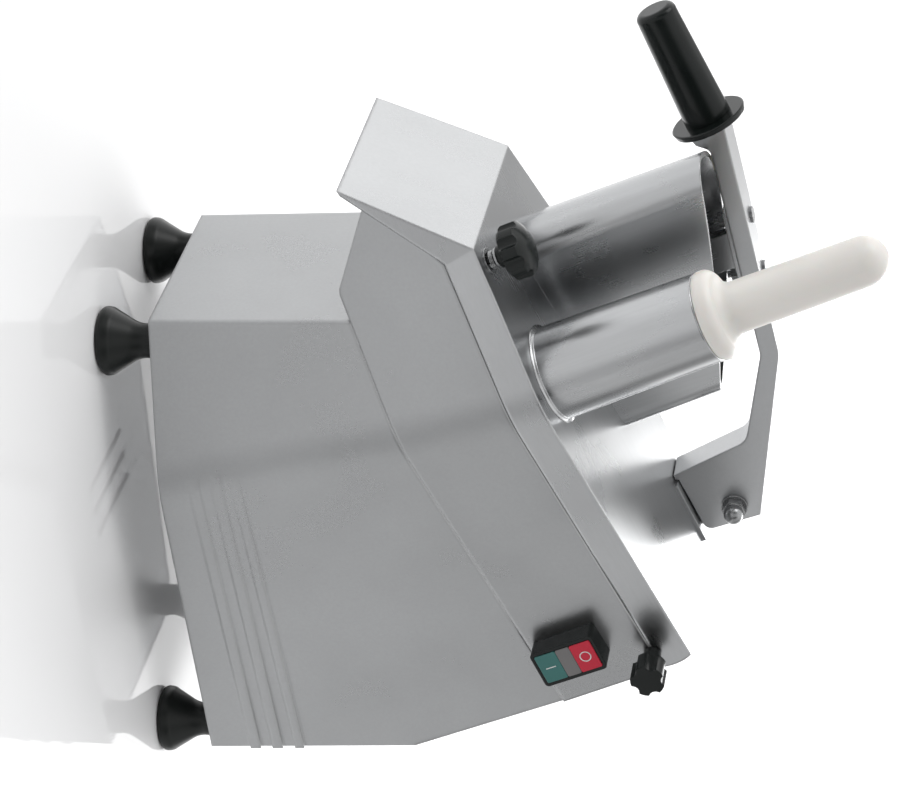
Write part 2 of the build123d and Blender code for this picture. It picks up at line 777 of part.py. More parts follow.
# ---------------------------------------------------------------- grip
grip_axis = Axis(lid_point(GRIP_V, 0, GRIP_W), UPSLOPE)
grip_plane = Plane(origin=lid_point(GRIP_V, 0, GRIP_W), x_dir=UPSLOPE, z_dir=ACROSS)
GUARD_END = GRIP_START_S - 4.5
GRIP_END = GUARD_END - GRIP_LENGTH + 2.5

with BuildPart() as grip_guard:
    with BuildSketch(grip_plane):
        with BuildLine():
            Polyline((GUARD_END, 6), (GRIP_START_S, 6), (GRIP_START_S, 27))
            Polyline((GRIP_START_S, 27), (GUARD_END + 0.8, 28), (GUARD_END, 27), (GUARD_END, 6))
        make_face()
    revolve(axis=grip_axis)
save(grip_guard, "grip_guard")

with BuildPart() as hand_grip:
    with BuildSketch(grip_plane):
        with BuildLine():
            Polyline((GUARD_END - 62, 0), (GUARD_END - 62, 6), (GUARD_END, 6), (GUARD_END, 17.2))
            Line((GUARD_END, 17.2), (GRIP_END + 5, 14.8))
            ThreePointArc((GRIP_END + 5, 14.8), (GRIP_END + 1.4, 13.3), (GRIP_END, 9.8))
            Polyline((GRIP_END, 9.8), (GRIP_END, 0), (GUARD_END - 62, 0))
        make_face()
    revolve(axis=grip_axis)
save(hand_grip, "hand_grip")

with BuildPart() as grip_rod:
    rod_end = Plane(origin=lid_point(GRIP_V, GRIP_START_S, GRIP_W), x_dir=ACROSS, z_dir=UPSLOPE * -1)
    with BuildSketch(rod_end):
        Circle(6.0)
    extrude(amount=GRIP_START_S - GUARD_END + 62)
save(grip_rod, "grip_rod")

# ================================================================ hinge and lock
WALL_OUTER_V = 91.6                # side wall's outside at the hinge


def star_knob(plane, radius, lobes, notch, thickness):
    """Lobed knob head on a plane."""
    with BuildPart() as head:
        with BuildSketch(plane):
            Circle(radius)
            with PolarLocations(radius + notch * 0.45, lobes):
                Circle(notch, mode=Mode.SUBTRACT)
        extrude(amount=thickness)
    return head.part


with BuildPart() as hinge_rod:
    with BuildSketch(lid_side(-EAR_V[1] - 2)):
        with Locations((HINGE_S, HINGE_W)):
            Circle(HINGE_PIN_RADIUS)
    extrude(amount=WALL_OUTER_V + 12 + EAR_V[1] + 2)
save(hinge_rod, "hinge_rod")

HEAD_V = WALL_OUTER_V + 16.4
with BuildPart() as hinge_knob:
    add(star_knob(lid_side(HEAD_V, HINGE_S, HINGE_W), 12.6, 5, 5.0, 18.5))
    with BuildSketch(Plane(origin=lid_point(0, HINGE_S, HINGE_W), x_dir=ACROSS, z_dir=NORMAL * -1)):
        with BuildLine():
            Polyline((WALL_OUTER_V + 0.5, 0), (WALL_OUTER_V + 0.5, 6.5), (HEAD_V, 8.0), (HEAD_V + 2, 0))
            Line((HEAD_V + 2, 0), (WALL_OUTER_V + 0.5, 0))
        make_face()
    revolve(axis=Axis(lid_point(0, HINGE_S, HINGE_W), ACROSS))
    with BuildSketch(lid_side(WALL_OUTER_V)):
        with Locations((HINGE_S, HINGE_W)):
            Circle(HINGE_PIN_RADIUS)
    extrude(amount=12, mode=Mode.SUBTRACT)
save(hinge_knob, "hinge_knob")

LOCK_NECK_W = 9.0
LOCK_HEAD_W = 15.0
lock_axis = Axis(lid_point(LOCK_V, LOCK_S, 0), NORMAL)
with BuildPart() as lock_knob:
    add(star_knob(lid_level(LOCK_HEAD_W - 1, LOCK_V, LOCK_S), 20.0, 8, 5.2, 22.0))
    with BuildSketch(lid_section(LOCK_V, LOCK_S)):
        with BuildLine():
            Polyline((0, LOCK_HEAD_W + 2), (9.0, LOCK_HEAD_W), (18.6, LOCK_HEAD_W + 1))
            Line((18.6, LOCK_HEAD_W + 1), (20.0, LOCK_HEAD_W + 3))
            Line((20.0, LOCK_HEAD_W + 3), (20.0, 28.5))
            ThreePointArc((20.0, 28.5), cap_middle(20.0, 28.5, 35.0), (0, 35.0))
            Line((0, 35.0), (0, LOCK_HEAD_W + 2))
        make_face()
    revolve(axis=lock_axis, mode=Mode.INTERSECT)
    with BuildSketch(lid_section(LOCK_V, LOCK_S)):
        with BuildLine():
            Polyline((0, LOCK_NECK_W), (7.6, LOCK_NECK_W), (8.2, LOCK_NECK_W + 1), (9.2, 17), (0, 17))
            Line((0, 17), (0, LOCK_NECK_W))
        make_face()
    revolve(axis=lock_axis)
    with BuildSketch(lid_level(LOCK_NECK_W - 1, LOCK_V, LOCK_S)):
        Circle(4.0)
    extrude(amount=15, mode=Mode.SUBTRACT)
save(lock_knob, "lock_knob")

with BuildPart() as lock_screw:
    with BuildSketch(lid_level(-50, LOCK_V, LOCK_S)):
        Circle(4.0)
    extrude(amount=50 + LOCK_NECK_W + 14)
save(lock_screw, "lock_screw")

with BuildPart() as lock_spring:
    with BuildSketch(lid_level(1.8, LOCK_V, LOCK_S)):
        Circle(6.6)
        Circle(5.2, mode=Mode.SUBTRACT)
    extrude(amount=5.0)
save(lock_spring, "lock_spring")

with BuildPart() as lock_base_washer:
    with BuildSketch(lid_level(0, LOCK_V, LOCK_S)):
        Circle(9.5)
        Circle(4.6, mode=Mode.SUBTRACT)
    extrude(amount=1.8)
save(lock_base_washer, "lock_base_washer")

with BuildPart() as lock_top_washer:
    with BuildSketch(lid_level(7.1, LOCK_V, LOCK_S)):
        Circle(7.4)
        Circle(4.0 + FIT, mode=Mode.SUBTRACT)
    extrude(amount=1.7)
save(lock_top_washer, "lock_top_washer")

# ================================================================ cutting drive
with BuildPart() as bearing_housing:
    flange = BOWL_FLOOR_W - WALL
    with BuildSketch(lid_level(flange, s=DISC_S)):
        Circle(45)
        Circle(SHAFT_RADIUS + 3, mode=Mode.SUBTRACT)
        with PolarLocations(38, 4, 45):
            Circle(3.05, mode=Mode.SUBTRACT)
    extrude(amount=-6)
    with BuildSketch(lid_level(flange - 6, s=DISC_S)):
        Circle(25)
        Circle(HOUSING_BORE, mode=Mode.SUBTRACT)
    extrude(amount=-26)
save(bearing_housing, "bearing_housing")

with BuildPart() as housing_screws:
    with BuildSketch(lid_level(flange - 6, s=DISC_S)):
        with PolarLocations(38, 4, 45):
            RegularPolygon(5.5, 6)
    extrude(amount=-4)
    with BuildSketch(lid_level(flange - 6, s=DISC_S)):
        with PolarLocations(38, 4, 45):
            Circle(3.0)
    extrude(amount=6)
save(housing_screws, "housing_screws")

BEARING_TOPS = (flange - 6, flange - 21)
with BuildPart() as shaft_bearings:
    for top in BEARING_TOPS:
        with BuildSketch(lid_level(top, s=DISC_S)):
            Circle(HOUSING_BORE)
            Circle(SHAFT_RADIUS + FIT, mode=Mode.SUBTRACT)
        extrude(amount=-10)
save(shaft_bearings, "shaft_bearings")

with BuildPart() as shaft_seal:
    with BuildSketch(lid_level(BOWL_FLOOR_W - WALL, s=DISC_S)):
        Circle(SEAL_RADIUS)
        Circle(SHAFT_RADIUS + FIT, mode=Mode.SUBTRACT)
    extrude(amount=WALL + 2)
save(shaft_seal, "shaft_seal")

with BuildPart() as disc_shaft:
    with BuildSketch(lid_level(PULLEY_W[0] - 4, s=DISC_S)):
        Circle(SHAFT_RADIUS)
    extrude(amount=-16 - (PULLEY_W[0] - 4))
save(disc_shaft, "disc_shaft")

with BuildPart() as driven_pulley:
    with BuildSketch(lid_level(PULLEY_W[0], s=DISC_S)):
        Circle(PULLEY_RADIUS)
        Circle(SHAFT_RADIUS, mode=Mode.SUBTRACT)
    extrude(amount=PULLEY_W[1] - PULLEY_W[0])
    for face_w, depth in ((PULLEY_W[1], -7.0), (PULLEY_W[0], 7.0)):
        with BuildSketch(lid_level(face_w, s=DISC_S)):
            Circle(PULLEY_RADIUS - 9)
            Circle(22, mode=Mode.SUBTRACT)
        extrude(amount=depth, mode=Mode.SUBTRACT)
    with BuildSketch(lid_level(PULLEY_W[0], s=DISC_S)):
        with PolarLocations(45, 6):
            Circle(13)
    extrude(amount=PULLEY_W[1] - PULLEY_W[0], mode=Mode.SUBTRACT)
save(driven_pulley, "driven_pulley")

with BuildPart() as ejector_disc:
    with BuildSketch(lid_level(-57, s=DISC_S)):
        Circle(100)
        Circle(SHAFT_RADIUS, mode=Mode.SUBTRACT)
    extrude(amount=3)
    with BuildSketch(lid_level(-54.5, s=DISC_S)):
        with PolarLocations(60, 4):
            Rectangle(76, 5)
        Circle(20)
        Circle(SHAFT_RADIUS, mode=Mode.SUBTRACT)
    extrude(amount=14)
save(ejector_disc, "ejector_disc")

BLADE_COUNT = 3
BLADE_REACH = 60.0
with BuildPart() as cutting_disc:
    with BuildSketch(lid_level(DISC_W, s=DISC_S)):
        Circle(DISC_RADIUS)
        Circle(SHAFT_RADIUS, mode=Mode.SUBTRACT)
        with PolarLocations(BLADE_REACH, BLADE_COUNT):
            Rectangle(66, 14, mode=Mode.SUBTRACT)
    extrude(amount=4)
    with BuildSketch(lid_level(-40, s=DISC_S)):
        Circle(19)
        Circle(SHAFT_RADIUS, mode=Mode.SUBTRACT)
    extrude(amount=20.5)
    with BuildSketch(lid_level(DISC_W + 4, s=DISC_S)):       # cap nut that holds the disc on the shaft
        Circle(14)
    extrude(amount=4)
save(cutting_disc, "cutting_disc")

with BuildPart() as slicing_blades:
    for turn in range(BLADE_COUNT):
        with BuildSketch(lid_level(DISC_W + 4, s=DISC_S)):
            with PolarLocations(BLADE_REACH, 1, start_angle=turn * 360 / BLADE_COUNT):
                with Locations((0, -9)):
                    Rectangle(66, 22)
        extrude(amount=1.5)
save(slicing_blades, "slicing_blades")

with BuildPart() as blade_screws:
    for turn in range(BLADE_COUNT):
        with BuildSketch(lid_level(DISC_W + 5.5, s=DISC_S)):
            with PolarLocations(BLADE_REACH, 1, start_angle=turn * 360 / BLADE_COUNT):
                with Locations((-22, -14), (22, -14)):
                    Circle(3.5)
        extrude(amount=1.6)
save(blade_screws, "blade_screws")

BELT_GAP = 0.3
BELT_THICKNESS = 4.0


def belt_loop(grow):
    """Plan of the belt's path round both pulleys, grown outwards."""
    big = PULLEY_RADIUS + grow
    small = MOTOR_PULLEY_RADIUS + grow
    reach = MOTOR_S - DISC_S
    lean = acos((big - small) / reach)
    with BuildSketch() as loop:
        with Locations((0, DISC_S)):
            Circle(big)
        with Locations((0, MOTOR_S)):
            Circle(small)
        with BuildLine():
            Polyline(
                (big * sin(lean), DISC_S + big * cos(lean)),
                (small * sin(lean), MOTOR_S + small * cos(lean)),
                (-small * sin(lean), MOTOR_S + small * cos(lean)),
                (-big * sin(lean), DISC_S + big * cos(lean)),
                close=True,
            )
        make_face()
    return loop.sketch


BELT_INSIDE = belt_loop(BELT_GAP)
BELT_OUTSIDE = belt_loop(BELT_GAP + BELT_THICKNESS)
with BuildPart() as drive_belt:
    with BuildSketch(lid_level(PULLEY_W[0] + 2)):
        add(BELT_OUTSIDE)
        add(BELT_INSIDE, mode=Mode.SUBTRACT)
    extrude(amount=PULLEY_W[1] - PULLEY_W[0] - 4)
save(drive_belt, "drive_belt")

# ---------------------------------------------------------------- motor
PLATE_W = -137.0
PLATE_GAUGE = 6.0
SHIELD = 13.0
CASE_W = (-262.0, PLATE_W - SHIELD)
STANDOFFS = ((72.0, 70.0, BOWL_FLOOR_W - WALL), (50.0, 186.0, TRENCH_W - WALL))

with BuildPart() as motor_plate:
    with BuildSketch(lid_level(PLATE_W, s=125)):
        RectangleRounded(164, 144, 8)
        with Locations((0, MOTOR_S - 125)):
            Circle(20, mode=Mode.SUBTRACT)
    extrude(amount=PLATE_GAUGE)
save(motor_plate, "motor_plate")

with BuildPart() as motor_standoffs:
    for v, s, top in STANDOFFS:
        for place in (v, -v):
            with BuildSketch(lid_level(PLATE_W + PLATE_GAUGE, place, s)):
                Circle(6.0)
            extrude(amount=top - PLATE_W - PLATE_GAUGE)
save(motor_standoffs, "motor_standoffs")

with BuildPart() as motor_case:
    with BuildSketch(lid_level(CASE_W[0], s=MOTOR_S)):
        Circle(MOTOR_RADIUS)
        Circle(40, mode=Mode.SUBTRACT)
    extrude(amount=CASE_W[1] - CASE_W[0])
save(motor_case, "motor_case")

with BuildPart() as motor_end_shields:
    for low, high in ((CASE_W[1], PLATE_W), (CASE_W[0] - SHIELD, CASE_W[0])):
        with BuildSketch(lid_level(low, s=MOTOR_S)):
            Circle(MOTOR_RADIUS - 2)
            Circle(MOTOR_SHAFT_RADIUS + FIT, mode=Mode.SUBTRACT)
        extrude(amount=high - low)
save(motor_end_shields, "motor_end_shields")

with BuildPart() as motor_rotor:
    with BuildSketch(lid_level(CASE_W[0] - 8, s=MOTOR_S)):
        Circle(MOTOR_SHAFT_RADIUS)
    extrude(amount=PULLEY_W[1] + 4 - (CASE_W[0] - 8))
    with BuildSketch(lid_level(CASE_W[0] + 8, s=MOTOR_S)):
        Circle(39)
    extrude(amount=CASE_W[1] - CASE_W[0] - 16)
save(motor_rotor, "motor_rotor")

with BuildPart() as motor_pulley:
    for low, radius, thick in ((-124.5, 19.5, 2.0), (-122.5, MOTOR_PULLEY_RADIUS, 17.5), (-105.0, 19.5, 2.0)):
        with BuildSketch(lid_level(low, s=MOTOR_S)):
            Circle(radius)
            Circle(MOTOR_SHAFT_RADIUS, mode=Mode.SUBTRACT)
        extrude(amount=thick)
save(motor_pulley, "motor_pulley")

# ================================================================ controls
POCKET_FLOOR_X = 103.0
KEY_X = 106.5
KEY_FACE_X = 113.5

with BuildPart() as switch_housing:
    with BuildSketch(lid_side(80)):
        with Locations((SWITCH_S, SWITCH_W)):
            RectangleRounded(30, 50, 3)
    extrude(amount=SWITCH_FACE_X - 80)
    add(upper_envelope(0), mode=Mode.SUBTRACT)
    with BuildSketch(lid_side(POCKET_FLOOR_X)):
        with Locations((SWITCH_S, SWITCH_W)):
            RectangleRounded(24.4, 45.2, 1.5)
    extrude(amount=20, mode=Mode.SUBTRACT)
save(switch_housing, "switch_housing")


def key(centre_w, height, start_x):
    """One key or lens in the switch's pocket."""
    with BuildPart() as block:
        with BuildSketch(lid_side(start_x)):
            with Locations((SWITCH_S, centre_w)):
                RectangleRounded(24.0, height, 1.2)
        extrude(amount=KEY_FACE_X - start_x)
    return block


stop_button = key(SWITCH_W + 14.0, 16.5, KEY_X)
save(stop_button, "stop_button")
indicator_lens = key(SWITCH_W, 10.9, POCKET_FLOOR_X)
save(indicator_lens, "indicator_lens")
start_button = key(SWITCH_W - 14.0, 16.5, KEY_X)
save(start_button, "start_button")

with BuildPart() as switch_contacts:
    with BuildSketch(lid_side(62)):
        with Locations((SWITCH_S, SWITCH_W)):
            Rectangle(19, 36)
    extrude(amount=45)
    add(upper_envelope(0), mode=Mode.INTERSECT)
save(switch_contacts, "switch_contacts")

with BuildPart() as lid_switch:
    with BuildSketch(lid_level(DECK_W - WALL, -60, 125)):
        Rectangle(22, 34)
    extrude(amount=-15)
save(lid_switch, "lid_switch")

with BuildPart() as lid_magnet:
    with BuildSketch(lid_level(-LID_PLATE, -60, 125)):
        Rectangle(14, 26)
    extrude(amount=-6)
save(lid_magnet, "lid_magnet")

with BuildPart() as control_relay:
    with BuildSketch(level(BASE_Z + PLATE_THICKNESS, -42, 45)):
        Rectangle(45, 60)
    extrude(amount=75)
save(control_relay, "control_relay")

with BuildPart() as run_capacitor:
    with BuildSketch(level(BASE_Z + PLATE_THICKNESS, 45, 45)):
        Circle(20)
    extrude(amount=78)
    with BuildSketch(level(BASE_Z + PLATE_THICKNESS + 78, 45, 45)):
        with Locations((-8, 0), (8, 0)):
            Rectangle(2, 6)
    extrude(amount=8)
save(run_capacitor, "run_capacitor")

with BuildPart() as cable_gland:
    gland_axis = Axis((CENTRE_X - 45, CENTRE_Y + REAR_Y, 72), (0, 1, 0))
    with BuildSketch(Plane(origin=(CENTRE_X - 45, CENTRE_Y + REAR_Y, 72), x_dir=(0, 1, 0), z_dir=(0, 0, -1))):
        with BuildLine():
            Polyline((-12, 3.5), (-12, 8), (0, 8), (0, 12), (5, 12), (10, 7.5), (10, 3.5), close=True)
        make_face()
    revolve(axis=gland_axis)
    with BuildSketch(front(REAR_Y - WALL)):
        with Locations((-45, 72)):
            RegularPolygon(12, 6)
            Circle(8, mode=Mode.SUBTRACT)
    extrude(amount=5)
save(cable_gland, "cable_gland")

# ================================================================ feet
FOOT_NAMES = ("foot_front_left", "foot_front_right", "foot_rear_left", "foot_rear_right")
STUD_Z = (18.0, 64.0)


def rubber_foot(x, y):
    """Flared rubber foot with a blind hole for its stud."""
    with BuildPart() as foot:
        with BuildSketch(Plane(origin=(CENTRE_X + x, CENTRE_Y + y, 0), x_dir=(1, 0, 0), z_dir=(0, -1, 0))):
            with BuildLine():
                Polyline((STUD_RADIUS, STUD_Z[0]), (0, STUD_Z[0]), (0, 0), (21.5, 0))
                ThreePointArc((21.5, 0), (24.2, 1.7), (24.9, 4.8))
                ThreePointArc((24.9, 4.8), (24.4, 7.8), (22.7, 10.8))
                Line((22.7, 10.8), (15.4, 22.8))
                ThreePointArc((15.4, 22.8), (13.3, 27.4), (12.5, 32.5))
                Polyline((12.5, 32.5), (13.0, BASE_Z), (STUD_RADIUS, BASE_Z), (STUD_RADIUS, STUD_Z[0]))
            make_face()
        revolve(axis=Axis((CENTRE_X + x, CENTRE_Y + y, 0), (0, 0, 1)))
    return foot


for name, (x, y) in zip(FOOT_NAMES, FOOT_PLACES):
    save(rubber_foot(x, y), name)

with BuildPart() as foot_studs:
    for x, y in FOOT_PLACES:
        with BuildSketch(level(STUD_Z[0], x, y)):
            Circle(STUD_RADIUS)
        extrude(amount=STUD_Z[1] - STUD_Z[0])
save(foot_studs, "foot_studs")
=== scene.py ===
"""Look of the inclined-head vegetable cutter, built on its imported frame.

All sizes are in metres, in the CAD frame: +Z up, -Y out of the discharge chute.
Points on the sloping lid are given as (v, s, w): across, up the slope, and
square to the lid's surface.
"""
import json
from math import cos, pi, radians, sin

import bpy
from mathutils import Matrix, Vector


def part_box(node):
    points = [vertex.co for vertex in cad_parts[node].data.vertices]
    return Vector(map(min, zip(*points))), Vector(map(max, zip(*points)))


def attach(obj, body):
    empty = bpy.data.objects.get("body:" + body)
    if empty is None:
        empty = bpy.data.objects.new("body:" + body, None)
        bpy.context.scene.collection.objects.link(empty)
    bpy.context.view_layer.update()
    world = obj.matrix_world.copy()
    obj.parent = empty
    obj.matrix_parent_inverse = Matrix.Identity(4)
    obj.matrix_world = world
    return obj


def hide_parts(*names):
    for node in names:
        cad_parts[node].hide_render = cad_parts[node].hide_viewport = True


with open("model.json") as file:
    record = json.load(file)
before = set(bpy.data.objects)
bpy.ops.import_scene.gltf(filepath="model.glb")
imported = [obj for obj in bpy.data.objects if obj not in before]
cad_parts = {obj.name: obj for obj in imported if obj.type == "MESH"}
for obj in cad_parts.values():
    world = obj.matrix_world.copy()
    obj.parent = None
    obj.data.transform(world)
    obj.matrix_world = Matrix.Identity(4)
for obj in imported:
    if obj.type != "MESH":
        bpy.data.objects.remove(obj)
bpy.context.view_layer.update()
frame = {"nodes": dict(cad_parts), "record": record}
nodes = frame["nodes"]
scene = bpy.context.scene

# ---------------------------------------------------------------- frame
SLOPE = radians(21.7)
DATUM = Vector((-0.0030, -0.0276, 0.3310))
ACROSS = Vector((1, 0, 0))
UPSLOPE = Vector((0, cos(SLOPE), sin(SLOPE)))
NORMAL = Vector((0, -sin(SLOPE), cos(SLOPE)))


def lid_point(v, s, w):
    """Point on or above the lid."""
    return DATUM + ACROSS * v + UPSLOPE * s + NORMAL * w


# ================================================================ node helpers
class Nodes:
    """Short calls for building one material's or world's node tree."""

    def __init__(self, tree):
        self.tree = tree
        tree.nodes.clear()

    def add(self, kind, inputs=None, **settings):
        node = self.tree.nodes.new(kind)
        for key, value in settings.items():
            setattr(node, key, value)
        for key, value in (inputs or {}).items():
            self.feed(node.inputs[key], value)
        return node

    def feed(self, socket, value):
        if isinstance(value, bpy.types.NodeSocket):
            self.tree.links.new(value, socket)
        else:
            socket.default_value = value

    def math(self, operation, a, b=0.0, clamp=False):
        node = self.add("ShaderNodeMath", {0: a, 1: b}, operation=operation, use_clamp=clamp)
        return node.outputs[0]

    def ramp(self, value, low, high, out_low=0.0, out_high=1.0):
        node = self.add("ShaderNodeMapRange", {0: value, 1: low, 2: high, 3: out_low, 4: out_high})
        node.interpolation_type = "SMOOTHSTEP"
        return node.outputs[0]

    def noise(self, scale, detail=4.0, stretch=(1, 1, 1), turn=(0, 0, 0), roughness=0.5):
        place = self.add("ShaderNodeTexCoord").outputs["Object"]
        settings = {"Vector": place, "Scale": stretch, "Rotation": turn}
        mapped = self.add("ShaderNodeMapping", settings, vector_type="TEXTURE")
        node = self.add(
            "ShaderNodeTexNoise",
            {"Vector": mapped.outputs[0], "Scale": scale, "Detail": detail, "Roughness": roughness},
        )
        return node.outputs["Fac"]

    def blend(self, amount, first, second):
        node = self.add("ShaderNodeMix", data_type="RGBA")
        self.feed(node.inputs["Factor"], amount)
        self.feed(node.inputs["A"], first)
        self.feed(node.inputs["B"], second)
        return node.outputs["Result"]

    def bump(self, height, strength, distance, normal=None):
        node = self.add("ShaderNodeBump", {"Height": height, "Strength": strength, "Distance": distance})
        if normal is not None:
            self.feed(node.inputs["Normal"], normal)
        return node.outputs[0]


def grey(level, tint=(1, 1, 1)):
    """Colour from one brightness and a tint."""
    return tuple(level * part for part in tint) + (1,)


def rounded_edges(n, radius):
    """Rounded shading normal, and a mask that is 1 on edges and 0 on open faces."""
    soft = n.add("ShaderNodeBevel", {"Radius": radius}, samples=6).outputs[0]
    flat = n.add("ShaderNodeNewGeometry").outputs["Normal"]
    dot = n.add("ShaderNodeVectorMath", {0: soft, 1: flat}, operation="DOT_PRODUCT").outputs["Value"]
    return soft, n.ramp(dot, 0.995, 0.86)


# ================================================================ materials
STEEL_TINT = (0.985, 1.0, 1.015)
LID_TURN = (SLOPE, 0, 0)           # turns a texture square to the lid


def aluminium(
    name, level, rough, grain, relief, edge_radius, stretch=(1, 1, 1), turn=(0, 0, 0), grain_scale=420.0
):
    """Satin aluminium: cloudy tone, fine grain, and edges that look rounded and carry a painted highlight.
    """
    material = bpy.data.materials.new(name)
    material.use_nodes = True
    n = Nodes(material.node_tree)
    clouds = n.noise(9.0, 3.0)
    fine = n.noise(grain_scale, 3.0, stretch, turn)
    soft, edge = rounded_edges(n, edge_radius)
    tone = n.blend(n.ramp(clouds, 0.3, 0.7), grey(level * 0.93, STEEL_TINT), grey(level * 1.05, STEEL_TINT))
    streaked = n.blend(n.math("MULTIPLY", fine, grain), tone, grey(level * 0.72, STEEL_TINT))
    # edges blended towards pale grey: a painted highlight along the edges
    colour = n.blend(n.math("MULTIPLY", edge, 0.10), streaked, grey(0.9))
    base = n.ramp(clouds, 0.3, 0.7, rough - 0.03, rough + 0.05)
    roughness = n.math("ADD", base, n.math("MULTIPLY", fine, 0.05))
    shader = n.add(
        "ShaderNodeBsdfPrincipled",
        {
            "Base Color": colour,
            "Metallic": 1.0,
            "Roughness": roughness,
            "Normal": n.bump(fine, relief, 0.0002, soft),
        },
    )
    n.add("ShaderNodeOutputMaterial", {"Surface": shader.outputs[0]})
    return material


def steel(name, level, rough, scale=900.0, stretch=(1, 1, 20)):
    """Machined or ground steel with fine tool lines and a painted highlight along the edges."""
    material = bpy.data.materials.new(name)
    material.use_nodes = True
    n = Nodes(material.node_tree)
    lines = n.noise(scale, 2.0, stretch)
    soft, edge = rounded_edges(n, 0.0006)
    tone = n.blend(n.math("MULTIPLY", lines, 0.5), grey(level, STEEL_TINT), grey(level * 0.7, STEEL_TINT))
    shader = n.add(
        "ShaderNodeBsdfPrincipled",
        {
            # edges blended towards pale grey: a painted highlight along the edges
            "Base Color": n.blend(n.math("MULTIPLY", edge, 0.3), tone, grey(0.85)),
            "Metallic": 1.0,
            "Roughness": n.math("ADD", n.math("MULTIPLY", lines, 0.12), rough),
            "Normal": n.bump(lines, 0.2, 0.0001, soft),
        },
    )
    n.add("ShaderNodeOutputMaterial", {"Surface": shader.outputs[0]})
    return material


def moulded(name, colour, rough, speck=0.08, texture=0.05, scale=1400.0, subsurface=0.0, gloss=0.5):
    """Moulded plastic: slight tone variation, fine moulding texture, painted highlight along the edges."""
    material = bpy.data.materials.new(name)
    material.use_nodes = True
    n = Nodes(material.node_tree)
    broad = n.noise(14.0, 3.0)
    fine = n.noise(scale, 2.0)
    soft, edge = rounded_edges(n, 0.0010)
    darker = tuple(c * (1 - speck) for c in colour) + (1,)
    lighter = tuple(min(1, c * (1 + speck) + 0.004) for c in colour) + (1,)
    # lighter colour blended in along the edges: a painted highlight
    edge_highlight = tuple(min(1, c * 1.25 + 0.012) for c in colour) + (1,)
    tone = n.blend(n.ramp(broad, 0.3, 0.7), darker, lighter)
    shader = n.add(
        "ShaderNodeBsdfPrincipled",
        {
            "Base Color": n.blend(n.math("MULTIPLY", edge, 0.35), tone, edge_highlight),
            "Roughness": n.ramp(broad, 0.25, 0.75, rough - 0.04, rough + 0.07),
            "Subsurface Weight": subsurface,
            "Subsurface Scale": 0.006,
            "Specular IOR Level": gloss,
            "Normal": n.bump(fine, texture, 0.0002, soft),
        },
    )
    n.add("ShaderNodeOutputMaterial", {"Surface": shader.outputs[0]})
    return material


MATERIALS = {
    "cast_body": aluminium("cast_body", 0.37, 0.27, 0.30, 0.12, 0.0032),
    "cast_lid": aluminium("cast_lid", 0.44, 0.25, 0.30, 0.08, 0.0028, (1, 20, 1), LID_TURN, 500.0),
    "satin_aluminium": aluminium(
        "satin_aluminium", 0.44, 0.23, 0.30, 0.01, 0.0009, (1, 1, 25), LID_TURN, 500.0
    ),
    "lever_aluminium": aluminium("lever_aluminium", 0.46, 0.33, 0.22, 0.12, 0.0022),
    "sheet_steel": steel("sheet_steel", 0.5, 0.32, 500.0, (25, 1, 1)),
    "bolt_steel": steel("bolt_steel", 0.30, 0.20),
    "bearing_steel": steel("bearing_steel", 0.6, 0.12),
    "blade_steel": steel("blade_steel", 0.7, 0.2, 800.0, (20, 1, 1)),
    "black_plastic": moulded("black_plastic", (0.0035, 0.0055, 0.005), 0.20, 0.2, 0.04, 1200.0, 0.0, 0.22),
    "white_plastic": moulded("white_plastic", (0.70, 0.68, 0.645), 0.33, 0.03, 0.05, 900.0, 0.15),
    "cream_rubber": moulded("cream_rubber", (0.70, 0.66, 0.52), 0.55),
    "black_rubber": moulded("black_rubber", (0.012, 0.012, 0.012), 0.6, 0.2, 0.15, 1400.0, 0.0, 0.3),
    "foot_rubber": moulded("foot_rubber", (0.004, 0.0055, 0.005), 0.30, 0.2, 0.10, 1000.0, 0.0, 0.25),
    "red_plastic": moulded("red_plastic", (0.44, 0.008, 0.03), 0.28, 0.05, 0.05, 1400.0, 0.0, 0.35),
    "grey_plastic": moulded("grey_plastic", (0.14, 0.135, 0.135), 0.35, 0.06, 0.05, 1400.0, 0.0, 0.35),
    "green_plastic": moulded("green_plastic", (0.03, 0.13, 0.12), 0.30, 0.05, 0.05, 1400.0, 0.0, 0.35),
    "mark_paint": moulded("mark_paint", (0.62, 0.63, 0.62), 0.4, 0.03),
    "motor_paint": moulded("motor_paint", (0.05, 0.06, 0.07), 0.35, 0.1, 0.12, 700.0),
}

for subpart in frame["record"]["subparts"]:
    node = nodes[subpart["node"]]
    node.data.materials.clear()
    node.data.materials.append(MATERIALS[subpart["material_slot"]])
nodes["lever_arm"].data.materials[0] = MATERIALS["lever_aluminium"]


# ================================================================ small pieces
LOCK = (0.068, -0.123)             # lock screw's place on the lid, (v, s)
TUBE = (0.062, -0.023)             # round tube's place on the lid, (v, s)
SWITCH_S = 0.1745
SWITCH_W = -0.077
KEY_STEP = 0.014                   # each key's centre from the switch's centre
SPRING_BOTTOM = 0.0018
SPRING_TOP = 0.0068
SPRING_RADIUS = 0.0060             # to the middle of the wire
SPRING_TURNS = 3.5
WIRE_RADIUS = 0.00055
COVE_INSIDE = 0.0336               # just inside the round tube's wall
COVE_OUTSIDE = 0.0366
COVE_RADIUS = 0.0026
COVE_LIFT = 0.0001
MARK_SINK = -0.0003                # the marks' back and front, from the key's face
MARK_RISE = 0.00012
RING_INSIDE = 0.0036
RING_OUTSIDE = 0.0044
BAR_HALF_WIDTH = 0.0004
BAR_HALF_LENGTH = 0.004


def new_piece(name, verts, faces, material, body):
    """One smooth-shaded piece carried by a body."""
    mesh = bpy.data.meshes.new(name)
    mesh.from_pydata([tuple(v) for v in verts], [], faces)
    mesh.polygons.foreach_set("use_smooth", [True] * len(mesh.polygons))
    mesh.materials.append(material)
    piece = bpy.data.objects.new(name, mesh)
    scene.collection.objects.link(piece)
    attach(piece, body)
    return piece


